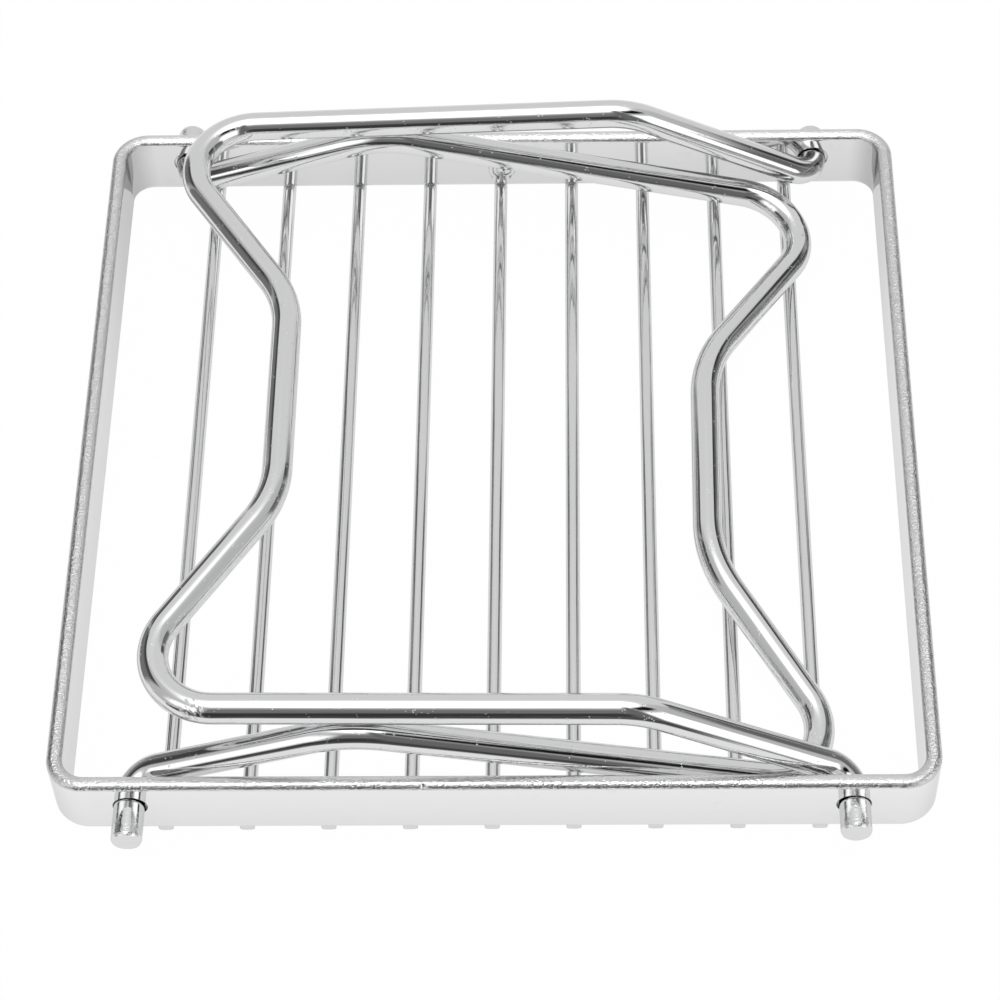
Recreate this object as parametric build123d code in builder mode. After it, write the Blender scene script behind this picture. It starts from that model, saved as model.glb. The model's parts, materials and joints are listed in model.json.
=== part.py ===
from build123d import *

import math
import os

# A folding wire rack. A square band of flat steel stands on edge, nine straight wires are welded
# under it as a grid, and two bent rods hinge in holes through the band as legs. Folded, the lower
# leg lies down to the grid and the upper leg lies on the lower leg's bends.
# X runs across the wires, Y along them and Z up. The origin is the middle of the footprint, at the
# height of the surface that the wires rest on. The lower leg's ends stand out further in front than
# behind, so the band's own middle lies a little behind the origin.

# The band.
band_length = 170.8  # over the outside, along X
band_depth = 167.2  # over the outside, along Y
band_height = 15.2
band_thickness = 3.1
band_corner_radius = 7.5  # outside
band_edge_radius = 1.2  # rounding of the strip's long edges

# The grid.
wire_diameter = 2.9
wire_count = 9
wire_margin = 22.2  # from the band's outside to the first and the last wire, on average, along X
grid_shift = -0.4  # middle of the grid from the middle of the band, along X
wire_setback = 0.8  # wire end in from the band's outer face
wire_bed = 0.6  # how far each wire is let into the band's lower edge
weld_clearance = 0.02

# The hinges.
rod_diameter = 6.0
pivot_inset = 16.4  # from the band's outside to the middle of the hole, on average, along X
pivot_shift = -0.35  # middle of the two hinges from the middle of the band, along X
pivot_height = 8.6  # middle of the hole above the band's lower edge
pivot_clearance = 0.5  # hole wall to rod, all round
pin_play = 0.2  # what is left of it under the rod, which hangs low in its hole
lower_front_end = 7.6  # lower leg's free end beyond the band's outer face
lower_back_end = 5.8
upper_front_end = 6.2
upper_back_end = 4.2
pin_chamfer = 0.35

# The legs, by their centre lines.
leg_shift = -0.5  # middle of the legs from the middle of the band, along Y, from their end play
arm_gap = 1.8  # band's inner face to the arm at the hinge, on average
root_radius = 5.7
foot_radius = 12.4
waist_half_width = 25.0
waist_setback = 31.9  # how far the foot's middle is drawn back towards the hinge
foot_gap = 0.15  # lower leg's foot to the grid
rest_gap = 0.2  # upper leg's arms to the lower leg's bends

upper_bend_reach = 40.75  # from the hinge to the bend, along X
upper_bend_rise = 21.7
upper_bend_radius = 18.0
upper_foot_margin = 21.3  # from the band's outside to the far side of the foot, along X
upper_toe_in = 2.6  # how far the arms draw in from the hinge to the foot
upper_waist_radius = 23.4
upper_skew = 0.0

lower_bend_reach = 42.75
lower_bend_rise = 15.5
lower_bend_radius = 26.0
lower_foot_overhang = 1.05  # far side of the foot beyond the last wire, along X
lower_toe_in = 1.65
lower_waist_radius = 29.0
lower_skew = 0.65  # degrees that the leg stands askew in plan, from the play in its holes

rod_radius = rod_diameter / 2
wire_radius = wire_diameter / 2
band_base = wire_diameter - wire_bed
inner_length = band_length - 2 * band_thickness
inner_depth = band_depth - 2 * band_thickness
inner_corner_radius = band_corner_radius - band_thickness
wire_length = band_depth - 2 * wire_setback
wire_pitch = (band_length - 2 * wire_margin) / (wire_count - 1)
pivot_x = band_length / 2 - pivot_inset
hole_z = band_base + pivot_height
hole_radius = rod_radius + pivot_clearance
hinge_z = hole_z - pivot_clearance + pin_play
middle_y = (lower_front_end - lower_back_end) / 2
leg_y = middle_y + leg_shift
root_y = inner_depth / 2 - arm_gap - rod_radius


def leg_points(side, ends, reach, rise, foot_reach, toe_in, fall, skew):
    """Corner points of one rod, hinged on the given side of the rack and lying towards the other.

    ends are how far it stands out behind and in front. reach and rise lead from the hinge to the
    bend, and foot_reach from the bend to the far side of the foot. fall is the slope of the arms
    beyond their bends and skew turns all but the pins in plan, both in radians.
    """
    # The foot's corners are rounded, so its far side stays short of where its lines meet.
    foot_y = root_y - toe_in
    foot_turn = math.pi - math.atan2(foot_y - waist_half_width, waist_setback)
    corner_run = foot_reach + foot_radius * (math.tan(foot_turn / 2) - 1)
    waist_run = corner_run - waist_setback
    bend_y = root_y - toe_in * reach / (reach + corner_run)
    hinge_x = side * pivot_x + pivot_shift

    def place(distance, y, height):
        across = distance * math.cos(skew) - y * math.sin(skew)
        along = distance * math.sin(skew) + y * math.cos(skew)
        return hinge_x - side * across, leg_y + along, hinge_z + height

    points = []
    for end, projection in ((1, ends[0]), (-1, ends[1])):
        half = [
            (hinge_x, middle_y + end * (band_depth / 2 + projection), hinge_z),
            (hinge_x, leg_y + end * root_y, hinge_z),
            place(reach, end * bend_y, rise),
            place(reach + corner_run * math.cos(fall), end * foot_y, rise - corner_run * math.sin(fall)),
            place(
                reach + waist_run * math.cos(fall),
                end * waist_half_width,
                rise - waist_run * math.sin(fall),
            ),
        ]
        points += half[::end]
    return points


def leg_radii(bend_radius, waist_radius):
    half = [root_radius, bend_radius, foot_radius, waist_radius]
    return half + half[::-1]


# The lower leg's foot lies on the wires, which gives the slope of its arms.
last_wire_x = grid_shift + wire_pitch * (wire_count - 1) / 2
lower_bend_x = pivot_shift - pivot_x + lower_bend_reach
lower_foot_run = last_wire_x + lower_foot_overhang - lower_bend_x
lower_foot_drop = hinge_z + lower_bend_rise - wire_diameter - foot_gap - rod_radius
lower_fall = math.atan2(lower_foot_drop, lower_foot_run)
lower_foot_reach = math.hypot(lower_foot_run, lower_foot_drop)

# The upper leg's arms lie on the lower leg's bends, at a tangent to the bend's arc.
lower_climb = math.atan2(lower_bend_rise, lower_bend_reach)
arc_offset = lower_bend_radius / math.cos((lower_climb + lower_fall) / 2)
arc_lean = (lower_climb - lower_fall) / 2
arc_x = lower_bend_x + arc_offset * math.sin(arc_lean)
arc_z = hinge_z + lower_bend_rise - arc_offset * math.cos(arc_lean)
upper_bend_x = pivot_shift + pivot_x - upper_bend_reach
upper_bend_z = hinge_z + upper_bend_rise
arc_distance = math.hypot(upper_bend_x - arc_x, upper_bend_z - arc_z)
arc_bearing = math.atan2(upper_bend_z - arc_z, upper_bend_x - arc_x)
upper_fall = arc_bearing - math.asin((lower_bend_radius + rod_diameter + rest_gap) / arc_distance)
upper_foot_run = upper_bend_x + band_length / 2 - upper_foot_margin
upper_foot_reach = upper_foot_run / math.cos(upper_fall)

with BuildPart() as band:
    with BuildSketch(Plane.XY.offset(band_base)):
        with Locations((0, middle_y)):
            RectangleRounded(band_length, band_depth, band_corner_radius)
            RectangleRounded(inner_length, inner_depth, inner_corner_radius, mode=Mode.SUBTRACT)
    extrude(amount=band_height)
    fillet(band.edges().group_by(Axis.Z)[-1] + band.edges().group_by(Axis.Z)[0], band_edge_radius)
    # Shallow beds for the wires, across the lower edge.
    with BuildSketch(Plane.XZ.offset(-band_depth / 2 - middle_y)):
        with Locations((grid_shift, wire_radius)):
            with GridLocations(wire_pitch, 0, wire_count, 1):
                Circle(wire_radius + weld_clearance)
    extrude(amount=band_depth, mode=Mode.SUBTRACT)
    # Hinge holes, straight through the front and the back.
    with BuildSketch(Plane.XZ.offset(-band_depth / 2 - middle_y)):
        with Locations((pivot_shift - pivot_x, hole_z), (pivot_shift + pivot_x, hole_z)):
            Circle(hole_radius)
    extrude(amount=band_depth, mode=Mode.SUBTRACT)
band.part.label = "band"

grid_wires = []
for number in range(1, wire_count + 1):
    wire_x = grid_shift + (number - (wire_count + 1) / 2) * wire_pitch
    with BuildPart() as grid_wire:
        with BuildSketch(Plane.XZ.offset(-wire_length / 2 - middle_y)):
            with Locations((wire_x, wire_radius)):
                Circle(wire_radius)
        extrude(amount=wire_length)
    grid_wire.part.label = f"grid_wire_{number}"
    grid_wires.append(grid_wire.part)

with BuildPart() as upper_leg:
    with BuildLine() as upper_path:
        FilletPolyline(
            *leg_points(
                1,
                (upper_back_end, upper_front_end),
                upper_bend_reach,
                upper_bend_rise,
                upper_foot_reach,
                upper_toe_in,
                upper_fall,
                math.radians(upper_skew),
            ),
            radius=leg_radii(upper_bend_radius, upper_waist_radius),
        )
    with BuildSketch(Plane(origin=upper_path.line @ 0, z_dir=upper_path.line % 0)):
        Circle(rod_radius)
    sweep()
    chamfer(upper_leg.faces().sort_by(Axis.Y)[0].edges(), pin_chamfer)
    chamfer(upper_leg.faces().sort_by(Axis.Y)[-1].edges(), pin_chamfer)
upper_leg.part.label = "upper_leg"

with BuildPart() as lower_leg:
    with BuildLine() as lower_path:
        FilletPolyline(
            *leg_points(
                -1,
                (lower_back_end, lower_front_end),
                lower_bend_reach,
                lower_bend_rise,
                lower_foot_reach,
                lower_toe_in,
                lower_fall,
                math.radians(-lower_skew),
            ),
            radius=leg_radii(lower_bend_radius, lower_waist_radius),
        )
    with BuildSketch(Plane(origin=lower_path.line @ 0, z_dir=lower_path.line % 0)):
        Circle(rod_radius)
    sweep()
    chamfer(lower_leg.faces().sort_by(Axis.Y)[0].edges(), pin_chamfer)
    chamfer(lower_leg.faces().sort_by(Axis.Y)[-1].edges(), pin_chamfer)
lower_leg.part.label = "lower_leg"

os.makedirs("parts", exist_ok=True)
for piece in [band.part, *grid_wires, upper_leg.part, lower_leg.part]:
    export_step(piece, f"parts/{piece.label}.step")

print(f"hinge height {hinge_z:.3f}, hinges at X {pivot_shift - pivot_x:.3f} and {pivot_shift + pivot_x:.3f}")
print(f"slopes: upper {math.degrees(upper_fall):.2f}, lower {math.degrees(lower_fall):.2f} degrees")
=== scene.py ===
import bpy
import bmesh
import json
from math import asin, atan2, ceil, cos, hypot, pi, radians, sin, tan
from mathutils import Matrix, Vector, noise


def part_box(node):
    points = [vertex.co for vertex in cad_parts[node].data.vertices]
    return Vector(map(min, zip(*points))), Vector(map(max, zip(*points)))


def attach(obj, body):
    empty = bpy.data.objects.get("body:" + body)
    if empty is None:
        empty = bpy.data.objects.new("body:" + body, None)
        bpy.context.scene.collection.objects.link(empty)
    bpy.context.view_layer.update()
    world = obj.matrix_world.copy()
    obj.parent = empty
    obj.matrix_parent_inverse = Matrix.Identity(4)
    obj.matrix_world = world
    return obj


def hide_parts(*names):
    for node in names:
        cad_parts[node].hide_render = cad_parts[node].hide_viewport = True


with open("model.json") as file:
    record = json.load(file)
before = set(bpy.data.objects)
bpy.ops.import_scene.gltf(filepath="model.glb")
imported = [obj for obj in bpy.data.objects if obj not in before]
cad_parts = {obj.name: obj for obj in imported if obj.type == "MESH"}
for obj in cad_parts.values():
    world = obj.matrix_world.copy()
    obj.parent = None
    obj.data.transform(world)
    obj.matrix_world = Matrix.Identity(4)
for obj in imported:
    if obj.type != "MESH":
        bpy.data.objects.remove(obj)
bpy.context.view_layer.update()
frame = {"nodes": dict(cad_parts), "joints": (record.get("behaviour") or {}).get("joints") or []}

mm = 0.001
scene = bpy.context.scene
print("frame loaded:", len(frame["nodes"]), "nodes")


def addObject(name, data):
    thing = bpy.data.objects.new(name, data)
    scene.collection.objects.link(thing)
    return thing


# shorthand for building node trees
def addNode(tree, kind, inputs=None, **settings):
    node = tree.nodes.new(kind)
    for key, value in settings.items():
        setattr(node, key, value)
    for key, value in (inputs or {}).items():
        socket = node.inputs[key]
        if isinstance(value, bpy.types.NodeSocket):
            tree.links.new(value, socket)
        else:
            socket.default_value = value
    return node


def mathNode(tree, operation, *values):
    inputs = dict(enumerate(values))
    return addNode(tree, "ShaderNodeMath", inputs, operation=operation).outputs[0]


def vectorNode(tree, operation, first, second):
    inputs = {0: first, 1: second}
    return addNode(tree, "ShaderNodeVectorMath", inputs, operation=operation).outputs["Value"]


def ramp(tree, value, fromLow, fromHigh, toLow=0.0, toHigh=1.0, smooth=True):
    node = addNode(tree, "ShaderNodeMapRange", {
        "Value": value,
        "From Min": fromLow,
        "From Max": fromHigh,
        "To Min": toLow,
        "To Max": toHigh,
    })
    node.interpolation_type = "SMOOTHSTEP" if smooth else "LINEAR"
    return node.outputs["Result"]


def window(tree, value, low, high, soft):
    # 1 between low and high, and 0 outside them
    rise = ramp(tree, value, low - soft, low + soft)
    drop = ramp(tree, value, high + soft, high - soft)
    return mathNode(tree, "MULTIPLY", rise, drop)


def oneTo(tree, share, level):
    # 1 where the share is 0, and the level where it is 1
    return mathNode(tree, "MULTIPLY_ADD", share, level - 1, 1)


def scaled(tree, vector, scale):
    return addNode(tree, "ShaderNodeMapping", {"Vector": vector, "Scale": scale}).outputs[0]


def attribute(tree, name, output):
    return addNode(tree, "ShaderNodeAttribute", attribute_name=name).outputs[output]


def noiseNode(tree, vector, scale, detail=2.0, roughness=0.5):
    return addNode(tree, "ShaderNodeTexNoise", {
        "Vector": vector,
        "Scale": scale,
        "Detail": detail,
        "Roughness": roughness,
    }).outputs["Fac"]


def bumpNode(tree, height, distance, before=None):
    inputs = {"Height": height, "Distance": distance}
    if before is not None:
        inputs["Normal"] = before
    return addNode(tree, "ShaderNodeBump", inputs).outputs["Normal"]


def mixColours(tree, share, first, second):
    inputs = {"Factor": share, 6: first, 7: second}
    return addNode(tree, "ShaderNodeMix", inputs, data_type="RGBA").outputs[2]


def mixLevels(tree, share, first, second):
    inputs = {"Factor": share, 2: first, 3: second}
    return addNode(tree, "ShaderNodeMix", inputs).outputs[0]


def mixShaders(tree, share, first, second):
    inputs = {0: share, 1: first.outputs[0], 2: second.outputs[0]}
    return addNode(tree, "ShaderNodeMixShader", inputs).outputs[0]


def emptyMaterial(name):
    material = bpy.data.materials.new(name)
    material.use_nodes = True
    material.node_tree.nodes.clear()
    return material, material.node_tree


def newMetal(name, finish):
    material = bpy.data.materials.new(name)
    material.use_nodes = True
    tree = material.node_tree
    shader = tree.nodes["Principled BSDF"]
    shader.inputs["Base Color"].default_value = (*finish["colour"], 1)
    shader.inputs["Specular Tint"].default_value = finish["edgeTint"]
    shader.inputs["Metallic"].default_value = 1
    return material, tree, shader


def drawnSkin(tree, shader, finish):
    # lines along a drawn rod or wire over a long ripple, rougher on some of the lines
    along = attribute(tree, "straight", "Vector")
    stretched = scaled(tree, along, (1, 1, finish["lineStretch"]))
    lines = noiseNode(tree, stretched, finish["lineScale"], 3, 0.6)
    stretched = scaled(tree, along, (1, 1, finish["rippleStretch"]))
    ripple = noiseNode(tree, stretched, finish["rippleScale"], finish["rippleDetail"])
    rough = ramp(tree, lines, *finish["roughSpan"], *finish["roughness"])
    tree.links.new(rough, shader.inputs["Roughness"])
    normal = bumpNode(tree, ripple, finish["rippleHeight"])
    return along, bumpNode(tree, lines, finish["lineHeight"], before=normal)


rodFinish = {
    "colour": (0.755, 0.757, 0.762),
    "edgeTint": (0.84, 0.84, 0.84, 1),  # what grazing light keeps
    "roughness": (0.05, 0.12),
    "roughSpan": (0.35, 0.75),
    "lineScale": 3600,
    "lineStretch": 0.012,
    "lineHeight": 0.000008,  # heights and depths in metres
    "rippleScale": 260,
    "rippleDetail": 1,
    "rippleStretch": 0.45,
    "rippleHeight": 0.000007,
    "pitScale": 1500,
    "pitSize": (0.28, 0.12),
    "pitPatchScale": 420,
    "pitPatchFrom": 0.58,
    "pitPatchFade": 0.05,
    "pitInBends": -0.07,  # more pits where the rod is bent
    "pitDepth": 0.00003,
    "scratchPlace": (-56.0 * mm, -74.9 * mm, 32.7 * mm),  # a short cluster of scratches
    "scratchReach": (2.7 * mm, 0.4),  # its radius, and the share of it that is full
    "scratchAcross": (0.78, 0.4, 0.48),
    "scratchAlong": (0.12, -0.1, -0.12),
    "scratchScale": 1700,
    "scratchSpan": (0.5, 0.58),
    "scratchHeight": 0.00014,
    "sawnScale": 2000,
    "sawnHeight": 0.0001,
}


def makeRodChrome():
    material, tree, shader = newMetal("rodChrome", rodFinish)
    along, normal = drawnSkin(tree, shader, rodFinish)
    pits = addNode(tree, "ShaderNodeTexVoronoi", {"Vector": along, "Scale": rodFinish["pitScale"]})
    pit = ramp(tree, pits.outputs["Distance"], *rodFinish["pitSize"])
    patch = noiseNode(tree, along, rodFinish["pitPatchScale"], 2)
    bend = attribute(tree, "bend", "Fac")
    start, inBends = rodFinish["pitPatchFrom"], rodFinish["pitInBends"]
    limit = mathNode(tree, "MULTIPLY_ADD", bend, inBends, start)
    inPatch = ramp(tree, mathNode(tree, "SUBTRACT", patch, limit), 0.0, rodFinish["pitPatchFade"])
    hollow = mathNode(tree, "MULTIPLY", mathNode(tree, "MULTIPLY", pit, inPatch), -1)
    normal = bumpNode(tree, hollow, rodFinish["pitDepth"], before=normal)
    # scratches, long one way and close together the other
    place = addNode(tree, "ShaderNodeTexCoord").outputs["Object"]
    away = vectorNode(tree, "DISTANCE", place, rodFinish["scratchPlace"])
    reach, full = rodFinish["scratchReach"]
    close = ramp(tree, away, reach, reach * full)
    across = vectorNode(tree, "DOT_PRODUCT", place, rodFinish["scratchAcross"])
    lengthwise = vectorNode(tree, "DOT_PRODUCT", place, rodFinish["scratchAlong"])
    stroke = addNode(tree, "ShaderNodeCombineXYZ", {"X": across, "Y": lengthwise}).outputs[0]
    scratch = noiseNode(tree, stroke, rodFinish["scratchScale"], 1)
    scratch = mathNode(tree, "MULTIPLY", ramp(tree, scratch, *rodFinish["scratchSpan"]), close)
    normal = bumpNode(tree, scratch, rodFinish["scratchHeight"], before=normal)
    # the sawn ends are rougher than the rest
    mottle = noiseNode(tree, place, rodFinish["sawnScale"], 2, 0.6)
    mottle = mathNode(tree, "MULTIPLY", mottle, attribute(tree, "worn", "Fac"))
    normal = bumpNode(tree, mottle, rodFinish["sawnHeight"], before=normal)
    tree.links.new(normal, shader.inputs["Normal"])
    return material


wireFinish = {
    "colour": (0.745, 0.747, 0.752),
    "edgeTint": (0.82, 0.82, 0.82, 1),
    "roughness": (0.07, 0.16),
    "roughSpan": (0.3, 0.75),
    "lineScale": 4200,
    "lineStretch": 0.01,
    "lineHeight": 0.000006,
    "rippleScale": 420,
    "rippleDetail": 2,
    "rippleStretch": 0.3,
    "rippleHeight": 0.000006,
}


def makeWireSteel():
    material, tree, shader = newMetal("wireSteel", wireFinish)
    _, normal = drawnSkin(tree, shader, wireFinish)
    tree.links.new(normal, shader.inputs["Normal"])
    return material


bandLow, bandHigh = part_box("band")
middleY = (bandLow.y + bandHigh.y) / 2
bandFinish = {
    "colour": (0.755, 0.756, 0.76),  # grainy edges
    "sideColour": (0.63, 0.631, 0.635),  # the same on the two sides
    "faceLow": (0.80, 0.801, 0.805),  # smooth faces, at their foot and at their top; the darker foot is painted shade of the floor's shadow seen in them
    "faceHigh": (0.875, 0.875, 0.878),
    "edgeTint": (0.83, 0.83, 0.83, 1),
    "edgeSpan": (1.25 * mm, 0.85 * mm),  # in from the strip's long edges, where the grain comes in
    "sideSpan": (76 * mm, 82 * mm),  # along X, where a side comes in
    "cloudScale": 110,
    "stain": 0.965,  # a few faint cloudy spots
    "stainSpan": (0.6, 0.72),
    "backShade": 0.88,  # painted shade: darker towards the back, most of all on the sides, standing in for the shadowed floor seen in them
    "backShadeSpan": (0.0, 75 * mm),  # along Y
    "sideShade": 0.72,
    "sideShadeSpan": (15 * mm, 72 * mm),
    "faceRoughness": (0.06, 0.14),
    "roughSpan": (0.45, 0.8),
    "edgeRoughness": 0.09,
    "fineScale": 3000,  # brushed lines on the faces
    "fineStretch": 0.12,
    "fineHeight": 0.0000015,
    "grainScale": 3000,
    "grainHeight": 0.00012,
    "sideGrain": 1.3,  # stronger on the two sides
}


def makeBandSteel():
    material, tree, shader = newMetal("bandSteel", bandFinish)
    place = addNode(tree, "ShaderNodeTexCoord").outputs["Object"]
    x, y, z = addNode(tree, "ShaderNodeSeparateXYZ", {"Vector": place}).outputs
    middle = (bandLow.z + bandHigh.z) / 2
    half = (bandHigh.z - bandLow.z) / 2
    fromMiddle = mathNode(tree, "ABSOLUTE", mathNode(tree, "SUBTRACT", z, middle))
    edgeStart, edgeFull = bandFinish["edgeSpan"]
    edge = ramp(tree, fromMiddle, half - edgeStart, half - edgeFull)
    aside = ramp(tree, mathNode(tree, "ABSOLUTE", x), *bandFinish["sideSpan"])
    cloud = noiseNode(tree, place, bandFinish["cloudScale"], 3, 0.6)
    # colour
    # painted shade: the smooth faces grow darker towards their foot, standing in for the shadowed
    # floor they reflect
    upward = ramp(tree, z, bandLow.z, bandHigh.z, smooth=False)
    faces = mixColours(tree, upward, (*bandFinish["faceLow"], 1), (*bandFinish["faceHigh"], 1))
    stain = ramp(tree, cloud, *bandFinish["stainSpan"], 1, bandFinish["stain"])
    # painted shade: darker towards the back, and on the sides near the back; multiplied below with
    # the real cloudy stains
    back = ramp(tree, y, *bandFinish["backShadeSpan"], 1, bandFinish["backShade"])
    sideBackShade = mathNode(tree, "MULTIPLY", aside, ramp(tree, y, *bandFinish["sideShadeSpan"]))
    stainAndShade = mathNode(tree, "MULTIPLY", stain, back)
    stainAndShade = mathNode(tree, "MULTIPLY", stainAndShade, oneTo(tree, sideBackShade, bandFinish["sideShade"]))
    inputs = {0: faces, "Scale": stainAndShade}
    faces = addNode(tree, "ShaderNodeVectorMath", inputs, operation="SCALE").outputs[0]
    edges = mixColours(tree, aside, (*bandFinish["colour"], 1), (*bandFinish["sideColour"], 1))
    tree.links.new(mixColours(tree, edge, faces, edges), shader.inputs["Base Color"])
    # bump
    stretch = bandFinish["fineStretch"]
    fine = noiseNode(tree, scaled(tree, place, (stretch, stretch, 1)), bandFinish["fineScale"], 3)
    normal = bumpNode(tree, fine, bandFinish["fineHeight"])
    grain = noiseNode(tree, place, bandFinish["grainScale"], 1, 0.5)
    grain = mathNode(tree, "MULTIPLY", grain, oneTo(tree, aside, bandFinish["sideGrain"]))
    grain = mathNode(tree, "MULTIPLY", grain, edge)
    normal = bumpNode(tree, grain, bandFinish["grainHeight"], before=normal)
    tree.links.new(normal, shader.inputs["Normal"])
    # gloss
    faceRough = ramp(tree, cloud, *bandFinish["roughSpan"], *bandFinish["faceRoughness"])
    rough = mixLevels(tree, edge, faceRough, bandFinish["edgeRoughness"])
    tree.links.new(rough, shader.inputs["Roughness"])
    return material


rodChrome = makeRodChrome()
wireSteel = makeWireSteel()
bandSteel = makeBandSteel()
print("materials made")


# a surface collects points, normals and faces before it becomes a mesh
def newSurface():
    return {"points": [], "normals": [], "straight": [], "bend": [], "worn": [], "faces": []}


def addPoint(surface, point, normal, straight=(0, 0, 0), bend=0.0, worn=0.0):
    surface["points"].append(tuple(point))
    surface["normals"].append(tuple(Vector(normal).normalized()))
    surface["straight"].append(tuple(straight))
    surface["bend"].append(bend)
    surface["worn"].append(worn)
    return len(surface["points"]) - 1


def joinRings(surface, rings, closed=True):
    count = len(rings[0])
    for first, second in zip(rings, rings[1:]):
        for k in range(count):
            after = (k + 1) % count
            surface["faces"].append((first[k], first[after], second[after], second[k]))
    if closed:
        surface["faces"] += [tuple(rings[0]), tuple(rings[-1])]


def makePiece(name, surface, material, body, stands):
    mesh = bpy.data.meshes.new(name)
    mesh.from_pydata(surface["points"], [], surface["faces"])
    mesh.update()
    straight = mesh.attributes.new("straight", "FLOAT_VECTOR", "POINT")
    straight.data.foreach_set("vector", [c for point in surface["straight"] for c in point])
    for key in ("bend", "worn"):
        layer = mesh.attributes.new(key, "FLOAT", "POINT")
        layer.data.foreach_set("value", surface[key])
    faces = bmesh.new()
    faces.from_mesh(mesh)
    bmesh.ops.recalc_face_normals(faces, faces=faces.faces)
    faces.to_mesh(mesh)
    faces.free()
    mesh.shade_smooth()
    mesh.normals_split_custom_set_from_vertices(surface["normals"])
    mesh.materials.append(material)
    piece = addObject(name, mesh)
    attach(piece, body)
    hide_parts(*stands)
    return piece


band = {
    "thickness": 3.1 * mm,
    "cornerRadius": 7.5 * mm,
    "outerRound": 1.35 * mm,
    "innerRound": (1.75 * mm, 0.9 * mm),  # across and down, a flatter crown towards the inside
    "holeRadius": 3.27 * mm,
    "holeAbovePin": 0.08 * mm,  # the rod hangs low in its hole
    "holeLip": 0.25 * mm,
    "lipSteps": 5,
    "patch": 10.0 * mm,  # square of face that is remade round each hole
    "patchSteps": 40,
    "patchRings": (0.35, 0.7, 0.92),  # shares of the way from its rim to the hole's lip
    "cornerSteps": 24,
    "roundSteps": 14,
    "sidePieces": 50,
    "endPieces": 4,  # between a corner and the nearest hole's patch
    "coarseStep": 3 * mm,  # between the two patches
    "fineStep": 0.22 * mm,  # beside the nick and the weld
    "stepGrowth": 0.6,  # away from them
    "leastStep": 0.05 * mm,
    "nick": (-12.9 * mm, -82.2 * mm, 17.1 * mm),  # in the front edge
    "nickReach": 0.8 * mm,
    "nickDepth": 0.28 * mm,
    "weld": (0.4 * mm, 81.4 * mm, 7.7 * mm),  # a spot of weld on the inside of the back
    "weldReach": 1.0 * mm,
    "weldHeight": 0.45 * mm,
    "rippleReach": 6.0 * mm,  # rings in the steel round the weld
    "ripplePitch": 0.9 * mm,
    "rippleHeight": 0.05 * mm,
    "reliefMargin": 0.1 * mm,
    "slopeStep": 0.02 * mm,
}
hinges = {joint["child"]: Vector(joint["pos_m"]) for joint in frame["joints"]}
hingeZ = hinges["upper_leg"].z
holeZ = hingeZ + band["holeAbovePin"]


def bandProfile():
    # (offset in from the outer face, height, normal outward, normal up), once round the strip
    r = band["outerRound"]
    wide, deep = band["innerRound"]
    t = band["thickness"]
    low, high = bandLow.z, bandHigh.z
    steps = band["patchSteps"]
    patchRows = [holeZ + band["patch"] * (k / steps - 0.5) for k in range(steps + 1)]
    turn = [pi / 2 * k / band["roundSteps"] for k in range(1, band["roundSteps"] + 1)]
    ring = [(0, z, 1, 0) for z in [low + r] + patchRows + [high - r]]
    ring += [(r - r * cos(a), high - r + r * sin(a), cos(a), sin(a)) for a in turn]
    ring += [(t - wide + wide * sin(a), high - deep + deep * cos(a), -sin(a) * deep, cos(a) * wide)
             for a in turn[:-1]]
    ring += [(t, z, -1, 0) for z in [high - deep] + patchRows[::-1] + [low + deep]]
    ring += [(t - wide + wide * cos(a), low + deep - deep * sin(a), -cos(a) * deep, -sin(a) * wide)
             for a in turn]
    ring += [(r - r * sin(a), low + r - r * cos(a), sin(a), -cos(a)) for a in turn[:-1]]
    innerStart = steps + 2 + 2 * band["roundSteps"]  # the row where the inner face starts
    return ring, innerStart


def spacedOut(start, stop, spot, reach):
    # places along a run, closer together within reach of the spot
    places = []
    s = start
    while s < stop - band["leastStep"]:
        places.append(s)
        gap = max(0.0, abs(s - spot) - reach)
        s += min(band["coarseStep"], max(band["fineStep"], gap * band["stepGrowth"]))
    return places


def relief(point):
    # how far the band's skin stands out at a point, from the nick and the spot of weld
    rise = 0.0
    d = (point - Vector(band["nick"])).length / band["nickReach"]
    if d < 1:
        rise -= band["nickDepth"] * (1 - d * d) ** 2
    away = (point - Vector(band["weld"])).length
    d = away / band["weldReach"]
    if d < 1:
        rise += band["weldHeight"] * (1 - d * d) ** 2
    d = away / band["rippleReach"]
    if d < 1:
        rise += band["rippleHeight"] * cos(2 * pi * away / band["ripplePitch"]) * (1 - d * d) ** 2
    return rise


def shaped(point, normal):
    # a skin point and its normal after the relief
    near = min((point - Vector(band["nick"])).length - band["nickReach"],
               (point - Vector(band["weld"])).length - band["rippleReach"])
    if near > band["reliefMargin"]:
        return point, normal
    normal = normal.normalized()
    first = normal.orthogonal().normalized()
    step = band["slopeStep"]
    lean = Vector()
    for way in (first, normal.cross(first)):
        lean += way * (relief(point + way * step) - relief(point - way * step)) / (2 * step)
    return point + normal * relief(point), normal - lean


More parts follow.
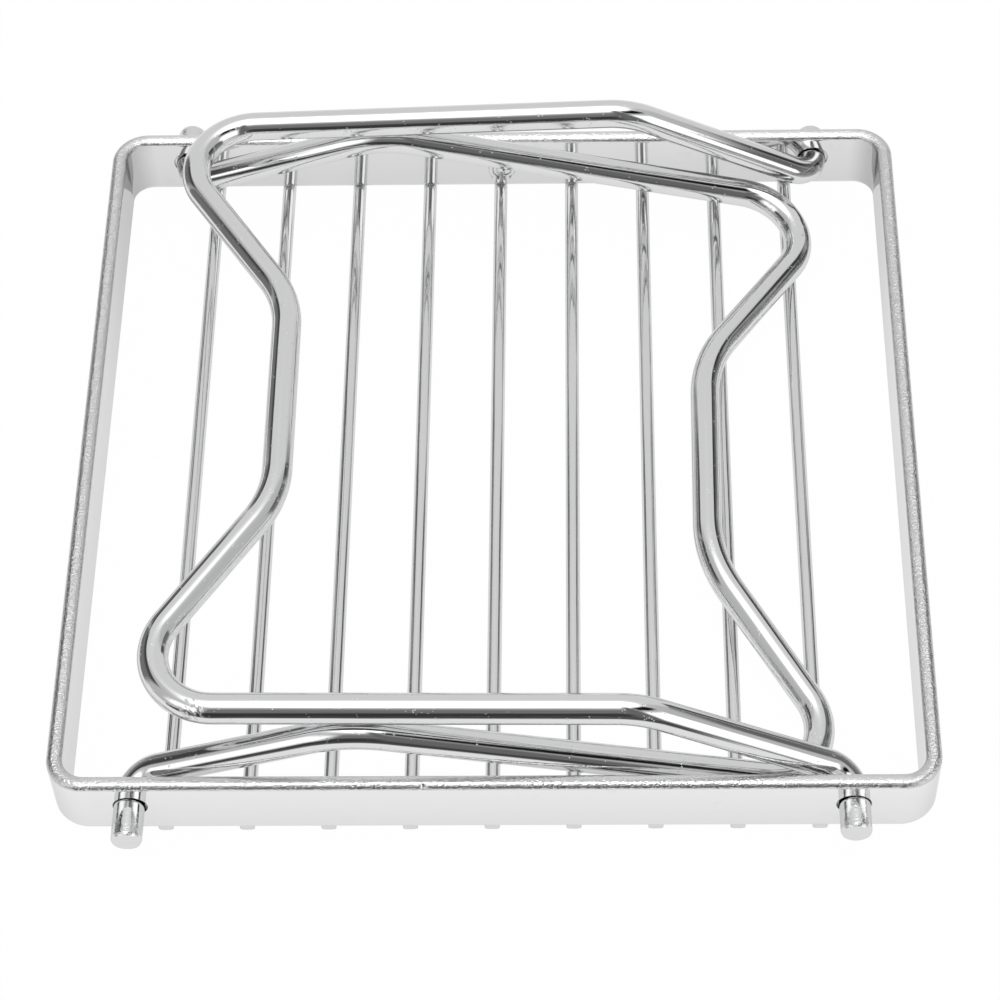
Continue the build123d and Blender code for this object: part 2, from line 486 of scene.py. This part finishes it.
def bandStations():
    # (point on the outer face, outward direction, True where a hole's patch starts)
    halfX, halfY = bandHigh.x, bandHigh.y - middleY
    radius = band["cornerRadius"]
    steps = band["patchSteps"]
    ends = band["endPieces"]
    half = band["patch"] / 2
    origin = Vector((0, middleY, 0))
    stations = []
    for out, face, reach in (((0, -1), halfY, halfX), ((1, 0), halfX, halfY),
                             ((0, 1), halfY, halfX), ((-1, 0), halfX, halfY)):
        out = Vector((*out, 0))
        along = Vector((-out.y, out.x, 0))
        end = reach - radius
        spot, spotReach = band["nick"][0], band["nickReach"]
        if out.y > 0:
            spot, spotReach = -band["weld"][0], band["rippleReach"]
        if out.y:
            first, last = sorted(hinge.x * along.x for hinge in hinges.values())
            runs = [(-end, first - half, ends, False), (first - half, first + half, steps, True),
                    (first + half, last - half, 0, False), (last - half, last + half, steps, True),
                    (last + half, end, ends, False)]
        else:
            runs = [(-end, end, band["sidePieces"], False)]
        for start, stop, pieces, hole in runs:
            if pieces:
                places = [start + (stop - start) * k / pieces for k in range(pieces)]
            else:
                places = spacedOut(start, stop, spot, spotReach)
            for k, s in enumerate(places):
                stations.append((origin + out * face + along * s, out, hole and k == 0))
        middle = origin + out * (face - radius) + along * end
        for k in range(band["cornerSteps"]):
            a = pi / 2 * k / band["cornerSteps"]
            turned = out * cos(a) + along * sin(a)
            stations.append((middle + turned * radius, turned, False))
    return stations


def makeBand():
    surface = newSurface()
    ring, innerStart = bandProfile()
    stations = bandStations()
    steps = band["patchSteps"]
    count = len(ring)
    total = len(stations)
    made = {}

    def corner(i, j):
        i, j = i % total, j % count
        if (i, j) not in made:
            point, out, _ = stations[i]
            offset, z, outward, upward = ring[j]
            where = point - out * offset + Vector((0, 0, z))
            made[i, j] = addPoint(surface, *shaped(where, out * outward + Vector((0, 0, upward))))
        return made[i, j]

    holes = [i for i, (_, _, hole) in enumerate(stations) if hole]
    patched = {(first + k) % total for first in holes for k in range(steps)}
    patchRows = {*range(1, 1 + steps), *range(innerStart + 1, innerStart + 1 + steps)}
    for i in range(total):
        for j in range(count):
            if i not in patched or j not in patchRows:
                face = corner(i, j), corner(i + 1, j), corner(i + 1, j + 1), corner(i, j + 1)
                surface["faces"].append(face)
    for first in holes:
        makeHole(surface, stations, first, corner, innerStart)
    return makePiece("bandStrip", surface, bandSteel, "frame", ["band"])


def makeHole(surface, stations, first, corner, innerStart):
    steps = band["patchSteps"]
    lip, t, radius = band["holeLip"], band["thickness"], band["holeRadius"]
    start, out, _ = stations[first]
    along = Vector((-out.y, out.x, 0))
    centre = start + along * band["patch"] / 2
    centre.z = holeZ
    # once round the patch, on the grid of its corners
    loop = [(a, 0) for a in range(steps)] + [(steps, b) for b in range(steps)]
    loop += [(a, steps) for a in range(steps, 0, -1)] + [(0, b) for b in range(steps, 0, -1)]
    outer = [corner(first + a, 1 + b) for a, b in loop]
    inner = [corner(first + a, innerStart + 1 + steps - b) for a, b in loop]
    spokes = []
    for a, b in loop:
        toEdge = Vector((a / steps - 0.5, b / steps - 0.5)) * band["patch"]
        spokes.append((toEdge, toEdge.normalized()))
    # (share of the way to the lip, ring radius, depth, normal outward, normal towards the middle)
    turn = [pi / 2 * k / band["lipSteps"] for k in range(band["lipSteps"] + 1)]
    shape = [(blend, None, 0.0, 1, 0) for blend in band["patchRings"]]
    shape += [(1, radius + lip * (1 - sin(a)), lip * (1 - cos(a)), cos(a), sin(a)) for a in turn]
    back = [(blend, r, t - offset, -face, inward)
            for blend, r, offset, face, inward in reversed(shape)]
    rings = [outer]
    for blend, r, offset, face, inward in shape + back:
        ring = []
        for toEdge, spoke in spokes:
            flat = toEdge.lerp(spoke * (radius + lip), blend) if r is None else spoke * r
            point = centre - out * offset + along * flat.x + Vector((0, 0, flat.y))
            normal = out * face - (along * spoke.x + Vector((0, 0, spoke.y))) * inward
            ring.append(addPoint(surface, point, normal))
        rings.append(ring)
    joinRings(surface, rings + [inner], closed=False)


bandPiece = makeBand()
print("band made:", len(bandPiece.data.polygons), "faces")


rod = {
    "radius": 3.0 * mm,
    "sides": 56,
    "arcStep": radians(1.6),
    "leastArcSteps": 6,
    "runStep": 4 * mm,
    "rootRadius": 5.7 * mm,
    "footRadius": 12.4 * mm,
    "waistHalfWidth": 25.0 * mm,
    "waistSetback": 31.9 * mm,
    "rootGap": 1.8 * mm,  # band's inner face to the arm
    "shift": -0.5 * mm,  # the legs' end play, taken up towards the front
    "chamfer": 0.35 * mm,
    # the sawn end: how far back a ring is and how far it draws in, both in chamfers, and the
    # lean of its normal towards the end
    "tip": [(2.1, 0.0, 0.0), (1.8, 0.0, 0.1), (1.5, 0.05, 0.35), (0.3, 0.59, 0.5),
            (0.0, 0.75, 0.65)],
    "tipFace": (0.97, 0.55, 0.2),  # rings on its flat, as shares of the rim
    "tipGap": 0.1 * mm,  # between the tip's first ring and the rod's own
    "rag": 0.018,  # unevenness of the chamfer
    "ragScale": 2.2,
    "ragLeans": (0.3, 1.4),  # for rings whose normals lean between these
    "wornLength": 7.0 * mm,  # sawn look along the free ends
}
upperLeg = {
    "piece": "upperLegRod",
    "body": "upper_leg",
    "side": 1,  # hinged on the right, and the lower leg on the left
    "lean": (-0.2 * mm, 0.15 * mm),  # of the back and the front pin in its hole, along X
    "reach": 40.75 * mm,  # from the hinge to the bend
    "rise": 21.7 * mm,
    "bendRadius": 18.0 * mm,
    "waistRadius": 23.4 * mm,
    "toeIn": 2.6 * mm,
    "footMargin": 21.3 * mm,  # from the band's outside to the far side of the foot
    "skew": 0.0,  # turn in plan
    "restGap": 0.2 * mm,  # arms to the lower leg's bends
    "markShift": 0.0,  # keeps the two rods' marks apart
}
lowerLeg = {
    "piece": "lowerLegRod",
    "body": "lower_leg",
    "side": -1,
    "lean": (0.2 * mm, -0.2 * mm),
    "reach": 42.75 * mm,
    "rise": 15.5 * mm,
    "bendRadius": 26.0 * mm,
    "waistRadius": 29.0 * mm,
    "toeIn": 1.65 * mm,
    "footOverhang": 1.05 * mm,  # far side of the foot beyond the last wire
    "skew": radians(-0.65),
    "footGap": 0.15 * mm,  # foot to the grid
    "markShift": 3.0,
}
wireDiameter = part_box("grid_wire_1")[1].z
lastWireX = (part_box("grid_wire_9")[0].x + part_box("grid_wire_9")[1].x) / 2
legY = middleY + rod["shift"]
rootY = bandHigh.y - middleY - band["thickness"] - rod["rootGap"] - rod["radius"]


def solveLegs():
    # the lower leg lies on the grid, and the upper one on the lower one's bends
    lowerBendX = hinges["lower_leg"].x + lowerLeg["reach"]
    run = lastWireX + lowerLeg["footOverhang"] - lowerBendX
    drop = hingeZ + lowerLeg["rise"] - wireDiameter - lowerLeg["footGap"] - rod["radius"]
    lowerLeg["fall"] = atan2(drop, run)
    lowerLeg["footReach"] = hypot(run, drop)
    climb = atan2(lowerLeg["rise"], lowerLeg["reach"])
    arcOffset = lowerLeg["bendRadius"] / cos((climb + lowerLeg["fall"]) / 2)
    arcLean = (climb - lowerLeg["fall"]) / 2
    arcX = lowerBendX + arcOffset * sin(arcLean)
    arcZ = hingeZ + lowerLeg["rise"] - arcOffset * cos(arcLean)
    bendX = hinges["upper_leg"].x - upperLeg["reach"]
    bendZ = hingeZ + upperLeg["rise"]
    apart = hypot(bendX - arcX, bendZ - arcZ)
    bearing = atan2(bendZ - arcZ, bendX - arcX)
    touch = lowerLeg["bendRadius"] + 2 * rod["radius"] + upperLeg["restGap"]
    upperLeg["fall"] = bearing - asin(touch / apart)
    footRun = bendX + bandHigh.x - upperLeg["footMargin"]
    upperLeg["footReach"] = footRun / cos(upperLeg["fall"])


def legCorners(leg):
    # corner points of the rod's centre line, from the back pin round to the front one
    footY = rootY - leg["toeIn"]
    footTurn = pi - atan2(footY - rod["waistHalfWidth"], rod["waistSetback"])
    cornerRun = leg["footReach"] + rod["footRadius"] * (tan(footTurn / 2) - 1)
    waistRun = cornerRun - rod["waistSetback"]
    bendY = rootY - leg["toeIn"] * leg["reach"] / (leg["reach"] + cornerRun)
    fall, skew, side = leg["fall"], leg["skew"], leg["side"]
    hingeX = hinges[leg["body"]].x
    pinLow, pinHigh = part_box(leg["body"])

    def place(distance, y, height):
        across = distance * cos(skew) - y * sin(skew)
        along = distance * sin(skew) + y * cos(skew)
        return Vector((hingeX - side * across, legY + along, hingeZ + height))

    corners = []
    reach, rise = leg["reach"], leg["rise"]
    for end, pinY, lean in ((1, pinHigh.y, leg["lean"][0]), (-1, pinLow.y, leg["lean"][1])):
        waistY = end * rod["waistHalfWidth"]
        half = [
            Vector((hingeX + lean, pinY, hingeZ)),
            Vector((hingeX + lean, legY + end * rootY, hingeZ)),
            place(reach, end * bendY, rise),
            place(reach + cornerRun * cos(fall), end * footY, rise - cornerRun * sin(fall)),
            place(reach + waistRun * cos(fall), waistY, rise - waistRun * sin(fall)),
        ]
        corners += half[::end]
    radii = [rod["rootRadius"], leg["bendRadius"], rod["footRadius"], leg["waistRadius"]]
    return corners, radii + radii[::-1]


def roundedPath(corners, radii):
    # (point, direction, 1 inside a bend) along straight runs joined by arcs
    path = []
    last = corners[0]
    for k, radius in enumerate(radii, 1):
        into = (corners[k] - corners[k - 1]).normalized()
        away = (corners[k + 1] - corners[k]).normalized()
        angle = into.angle(away)
        trim = radius * tan(angle / 2)
        start = corners[k] - into * trim
        pieces = max(1, ceil((start - last).length / rod["runStep"]))
        path += [(last.lerp(start, p / pieces), into, 0.0) for p in range(pieces)]
        inward = (away - into * into.dot(away)).normalized()
        steps = max(rod["leastArcSteps"], ceil(angle / rod["arcStep"]))
        for p in range(steps):
            a = angle * p / steps
            point = start + inward * radius * (1 - cos(a)) + into * radius * sin(a)
            path.append((point, into * cos(a) + inward * sin(a), sin(pi * p / steps)))
        last = corners[k] + away * trim
    away = (corners[-1] - corners[-2]).normalized()
    pieces = ceil((corners[-1] - last).length / rod["runStep"])
    path += [(last.lerp(corners[-1], p / pieces), away, 0.0) for p in range(pieces + 1)]
    return path


def rodStations(path):
    # (point, direction, an upright that turns with the rod, distance along it, bend)
    stations = []
    direction = path[0][1]
    upright = Vector((0, 0, 1))
    upright = (upright - direction * upright.dot(direction)).normalized()
    distance = 0.0
    before = path[0]
    for here in path:
        point, direction, bend = here
        distance += (point - before[0]).length
        upright = before[1].rotation_difference(direction) @ upright
        upright = (upright - direction * upright.dot(direction)).normalized()
        stations.append((point, direction, upright.copy(), distance, bend))
        before = here
    return stations, distance


def rodEnd(tip, toward, distance):
    # one sawn end's rings, from the rod to the middle of its flat
    radius, chamfer = rod["radius"], rod["chamfer"]
    shape = [(chamfer * back, radius - chamfer * inward, lean)
             for back, inward, lean in rod["tip"]]
    rim = shape[-1][1]
    shape += [(0.0, rim * share, pi / 2) for share in rod["tipFace"]]
    point, direction, upright = tip[:3]
    return [(point - direction * toward * back, direction, upright, distance - toward * back, 0.0,
             r, lean * toward) for back, r, lean in shape]


def sweepRod(surface, path, markShift):
    radius, sides = rod["radius"], rod["sides"]
    lowLean, highLean = rod["ragLeans"]
    stations, length = rodStations(path)
    margin = rod["tip"][0][0] * rod["chamfer"] + rod["tipGap"]
    body = [(*s, radius, 0.0) for s in stations if margin < s[3] < length - margin]
    rows = rodEnd(stations[0], -1, 0.0)[::-1] + body + rodEnd(stations[-1], 1, length)
    rings = []
    for point, direction, upright, s, bend, r, lean in rows:
        across = direction.cross(upright)
        worn = max(0.0, 1 - min(s, length - s) / rod["wornLength"])
        ring = []
        for k in range(sides):
            a = 2 * pi * k / sides
            outward = upright * cos(a) + across * sin(a)
            rag = 1.0
            if lowLean < abs(lean) < highLean:
                spot = Vector((cos(a) * rod["ragScale"], sin(a) * rod["ragScale"], markShift + s))
                rag += rod["rag"] * noise.noise(spot)
            flat = (cos(a) * radius, sin(a) * radius, s + markShift)
            normal = outward * cos(lean) + direction * sin(lean)
            ring.append(addPoint(surface, point + outward * r * rag, normal, flat, bend, worn))
        rings.append(ring)
    joinRings(surface, rings)


solveLegs()
for leg in (upperLeg, lowerLeg):
    body = leg["body"]
    surface = newSurface()
    sweepRod(surface, roundedPath(*legCorners(leg)), leg["markShift"])
    piece = makePiece(leg["piece"], surface, rodChrome, body, [body])
    print(leg["piece"], "made:", len(piece.data.polygons), "faces")


wire = {
    "count": 9,
    "sides": 36,
    "pressedWidth": 1.45 * mm,  # half width where the band sits on the wire
    "pressedHeight": 1.1 * mm,
    "pressedSquare": 4.0,  # 2 is round
    "pressIn": 0.5 * mm,  # how far the pressing shows beyond the band's inner face
    "pressFade": (0.9 * mm, 1.4 * mm),  # where it starts to fade, back from there, and its length
    # the end: how far each ring draws in, millimetres, and the lean of its normal towards the end
    "tip": [(0.06, 0.6), (0.14, 1.5), (0.25, pi / 2), (0.6, pi / 2), (0.9, pi / 2)],
    # rings behind the end, in millimetres from it, and lengths between the last two of them
    "rows": [0.04, 0.1, 0.3, 0.6, 1.0, 1.4, 1.8, 2.1, 2.4, 2.7, 3.0, 3.4, 3.9, 4.6, 6.0],
    "pieces": 40,
    "markShift": 0.37,  # from one wire's marks to the next one's
}


def wireShape(fromEnd, setback):
    # half width, half height and squareness at a distance from the wire's end
    pressed = band["thickness"] - setback + wire["pressIn"]
    fadeStart, fadeLength = wire["pressFade"]
    k = 1 - min(1, max(0, (fromEnd - pressed + fadeStart) / fadeLength))
    k = k * k * (3 - 2 * k)
    radius = wireDiameter / 2
    width = radius + (wire["pressedWidth"] - radius) * k
    height = radius + (wire["pressedHeight"] - radius) * k
    return width, height, 2 + (wire["pressedSquare"] - 2) * k


def signedPower(value, power):
    return abs(value) ** power * (1 if value > 0 else -1)


def makeWire(number):
    node = f"grid_wire_{number}"
    low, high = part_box(node)
    x = (low.x + high.x) / 2
    setback = bandHigh.y - high.y
    reach = (high.y - low.y) / 2
    radius = wireDiameter / 2
    half = [reach - back * mm for back in wire["rows"]]
    middle = [half[-1] * (1 - 2 * k / wire["pieces"]) for k in range(1, wire["pieces"])]
    rows = [(y, 0.0, 0.0) for y in half + middle + [-y for y in reversed(half)]]
    rows = [(reach, shrink * mm, lean) for shrink, lean in reversed(wire["tip"])] + rows
    rows += [(-reach, shrink * mm, lean) for shrink, lean in wire["tip"]]
    surface = newSurface()
    rings = []
    for y, shrink, lean in rows:
        width, height, square = wireShape(reach - abs(y), setback)
        endward = 1 if y > 0 else -1
        ring = []
        for k in range(wire["sides"]):
            a = 2 * pi * k / wire["sides"]
            c, s = cos(a), sin(a)
            px = signedPower(c, 2 / square)
            pz = signedPower(s, 2 / square)
            nx = signedPower(c, 2 - 2 / square) / width
            nz = signedPower(s, 2 - 2 / square) / height
            point = (x + px * (width - shrink), middleY + y, radius + pz * (height - shrink))
            flat = (c * radius, s * radius, y + number * wire["markShift"])
            normal = Vector((nx, 0, nz)).normalized() * cos(lean)
            normal.y += endward * sin(lean)
            ring.append(addPoint(surface, point, normal, flat))
        rings.append(ring)
    joinRings(surface, rings)
    makePiece(f"gridWire{number}", surface, wireSteel, "frame", [node])


for number in range(1, wire["count"] + 1):
    makeWire(number)
print("grid wires made:", wire["count"])


# light level by height above the horizon, in degrees, for three parts of the room
studio = {
    "peak": 2.4,
    "back": [(-90, 1.0), (-20, 0.98), (-6, 0.8), (0, 0.76), (12, 0.8), (50, 0.78), (57, 0.84),
             (62, 0.96), (67, 1.4), (72, 2.1), (90, 2.4)],
    "side": [(-90, 1.0), (-20, 0.9), (-6, 0.6), (0, 0.55), (40, 0.58), (58, 0.62), (64, 0.85),
             (69, 1.5), (74, 2.1), (90, 2.4)],
    "front": [(-90, 1.0), (-24, 0.9), (-12, 0.3), (-5, 0.05), (20, 0.05), (25, 0.1), (30, 0.22),
              (38, 0.2), (44, 0.2), (50, 0.3), (56, 0.42), (61, 0.8), (66, 1.5), (72, 2.1),
              (90, 2.4)],
    "backToSide": (46, 60),  # degrees round from the middle of the back
    "sideToFront": (138, 164),
}
# patches of the room: bearings from the back, heights and softness in degrees, and light level
patches = [
    {"bearing": (104, 148), "height": (10, 43), "soft": 5, "level": 1.6},
    {"bearing": (-156, -114), "height": (20, 48), "soft": 9, "level": 1.5},
    {"bearing": (-176, -136), "height": (-20, 15), "soft": 7, "level": 0.04},
    {"bearing": (151, 170), "height": (-20, 72), "soft": 6, "level": 0.16},
    {"bearing": (92, 147), "height": (52, 67), "soft": 3, "level": 0.01},
]


def heightRamp(tree, place, stops):
    node = addNode(tree, "ShaderNodeValToRGB", {"Fac": place})
    elements = node.color_ramp.elements
    elements.remove(elements[-1])
    for k, (angle, level) in enumerate(stops):
        position = (angle + 90) / 180
        element = elements.new(position) if k else elements[0]
        element.position = position
        element.color = (level / studio["peak"],) * 3 + (1,)
    return node.outputs["Color"]


def makeWorld():
    world = bpy.data.worlds.new("studio")
    scene.world = world
    world.use_nodes = True
    tree = world.node_tree
    tree.nodes.clear()
    direction = addNode(tree, "ShaderNodeTexCoord").outputs["Generated"]
    x, y, z = addNode(tree, "ShaderNodeSeparateXYZ", {"Vector": direction}).outputs
    height = mathNode(tree, "MULTIPLY", mathNode(tree, "ARCSINE", z), 180 / pi)
    bearing = mathNode(tree, "MULTIPLY", mathNode(tree, "ARCTAN2", x, y), 180 / pi)
    fromBack = mathNode(tree, "ABSOLUTE", bearing)
    place = ramp(tree, height, -90, 90, smooth=False)
    back, side, front = [heightRamp(tree, place, studio[key]) for key in ("back", "side", "front")]
    level = mixLevels(tree, ramp(tree, fromBack, *studio["backToSide"]), back, side)
    level = mixLevels(tree, ramp(tree, fromBack, *studio["sideToFront"]), level, front)
    level = mathNode(tree, "MULTIPLY", level, studio["peak"])
    for patch in patches:
        inBearing = window(tree, bearing, *patch["bearing"], patch["soft"])
        inHeight = window(tree, height, *patch["height"], patch["soft"])
        share = mathNode(tree, "MULTIPLY", inBearing, inHeight)
        level = mixLevels(tree, share, level, patch["level"])
    lit = addNode(tree, "ShaderNodeBackground", {"Color": (1, 1, 1, 1), "Strength": level})
    white = addNode(tree, "ShaderNodeBackground", {"Color": (1, 1, 1, 1), "Strength": 1.0})
    eye = addNode(tree, "ShaderNodeLightPath").outputs["Is Camera Ray"]
    addNode(tree, "ShaderNodeOutputWorld", {"Surface": mixShaders(tree, eye, lit, white)})


floorLook = {
    "half": 3.0,  # metres from its middle to each side
    "below": 0.05 * mm,
    "colour": (0.92, 0.92, 0.92, 1),
    # shares of the floor's own white, the rest being lit and shadowed
    "cameraGlow": 0.985,
    "metalGlow": 0.8,
}


def makeFloor():
    material, tree = emptyMaterial("paleFloor")
    path = addNode(tree, "ShaderNodeLightPath").outputs
    straight = mathNode(tree, "MAXIMUM", path["Is Camera Ray"], path["Is Transmission Ray"])
    share = mathNode(tree, "MULTIPLY", straight, floorLook["cameraGlow"])
    share = mathNode(tree, "MULTIPLY_ADD", path["Is Glossy Ray"], floorLook["metalGlow"], share)
    paper = addNode(tree, "ShaderNodeBsdfDiffuse", {"Color": floorLook["colour"]})
    glow = addNode(tree, "ShaderNodeEmission", {"Color": (1, 1, 1, 1), "Strength": 1.0})
    addNode(tree, "ShaderNodeOutputMaterial", {"Surface": mixShaders(tree, share, paper, glow)})
    half = floorLook["half"]
    mesh = bpy.data.meshes.new("floor")
    mesh.from_pydata([(-half, -half, 0), (half, -half, 0), (half, half, 0), (-half, half, 0)], [],
                     [(0, 1, 2, 3)])
    mesh.materials.append(material)
    floor = addObject("floor", mesh)
    floor.location.z = -floorLook["below"]


# dark cards that only the metal sees, each from one x, y and z to another, in metres
cards = {
    "leftFlag": {
        "x": (-0.20, -0.20),
        "y": (-0.06, 0.10),
        "z": (0.0, 0.185),
        "soft": 0.015,  # margin, and fade at the foot and the top
        "endSoft": 0.015,  # fade at the two ends
        "levels": (0.2, 0.06),  # at the foot and at the top
    },
    "leftBackFlag": {
        "x": (-0.20, -0.20),
        "y": (0.10, 0.21),
        "z": (0.0, 0.16),
        "soft": 0.015,
        "endSoft": 0.015,
        "levels": (0.2, 0.06),
    },
    "rightFlag": {
        "x": (0.20, 0.20),
        "y": (-0.03, 0.09),
        "z": (0.0, 0.14),
        "soft": 0.015,
        "endSoft": 0.015,
        "levels": (0.2, 0.15),
    },
    "rightBackFlag": {
        "x": (0.20, 0.20),
        "y": (0.09, 0.165),
        "z": (0.0, 0.14),
        "soft": 0.015,
        "endSoft": 0.015,
        "levels": (0.14, 0.03),
    },
    "frontCard": {
        "x": (-0.16, 0.07),
        "y": (-0.127, -0.127),
        "z": (0.016, 0.034),
        "soft": 0.004,
        "endSoft": 0.012,
        "levels": (0.09, 0.05),
    },
}
cardSpan = (0.4, 0.8)  # shares of a card's height between which its level changes
cardFoot = 0.5 * mm  # least height of a card's lower edge


def cardMaterial(name, card):
    (x0, x1), (y0, y1), (z0, z1), soft = card["x"], card["y"], card["z"], card["soft"]
    material, tree = emptyMaterial(name)
    place = addNode(tree, "ShaderNodeTexCoord").outputs["Object"]
    x, y, z = addNode(tree, "ShaderNodeSeparateXYZ", {"Vector": place}).outputs
    start, stop = [z0 + (z1 - z0) * share for share in cardSpan]
    level = ramp(tree, z, start, stop, *card["levels"])
    dark = addNode(tree, "ShaderNodeEmission", {"Color": (1, 1, 1, 1), "Strength": level})
    clear = addNode(tree, "ShaderNodeBsdfTransparent")
    run = (y, y0, y1) if x0 == x1 else (x, x0, x1)
    lengthwise = window(tree, *run, card["endSoft"])
    solid = mathNode(tree, "MULTIPLY", lengthwise, window(tree, z, z0, z1, soft))
    addNode(tree, "ShaderNodeOutputMaterial", {"Surface": mixShaders(tree, solid, clear, dark)})
    return material


def hangCard(name, card):
    (x0, x1), (y0, y1), (z0, z1), soft = card["x"], card["y"], card["z"], card["soft"]
    dx, dy = (0, soft) if x0 == x1 else (soft, 0)
    foot, top = max(cardFoot, z0 - soft), z1 + soft
    mesh = bpy.data.meshes.new(name)
    mesh.from_pydata([(x0 - dx, y0 - dy, foot), (x1 + dx, y1 + dy, foot),
                      (x1 + dx, y1 + dy, top), (x0 - dx, y0 - dy, top)], [], [(0, 1, 2, 3)])
    mesh.materials.append(cardMaterial(name, card))
    piece = addObject(name, mesh)
    piece.visible_camera = False
    piece.visible_shadow = False
    piece.visible_diffuse = False


makeWorld()
makeFloor()
for name, card in cards.items():
    hangCard(name, card)
print("studio made")


shot = {
    "lens": 110.786,
    "sensor": 36,
    "clipEnd": 20,
    "place": (0.017225, -0.37679, 0.521003),
    # the directions of its right, its top and its view
    "right": (0.99963168, 0.01057423, -0.02499367),
    "up": (0.00596358, 0.81286603, 0.58242018),
    "ahead": (-0.02647515, 0.58235471, -0.81250357),
}


def placeCamera():
    cam = bpy.data.cameras.new("camera")
    cam.lens = shot["lens"]
    cam.sensor_width = shot["sensor"]
    cam.clip_end = shot["clipEnd"]
    turned = Matrix((shot["right"], shot["up"], -Vector(shot["ahead"]))).transposed().to_4x4()
    turned.translation = Vector(shot["place"])
    camera = addObject("camera", cam)
    camera.matrix_world = turned
    return camera


scene.camera = placeCamera()
scene.view_settings.view_transform = "Standard"
print("camera placed")
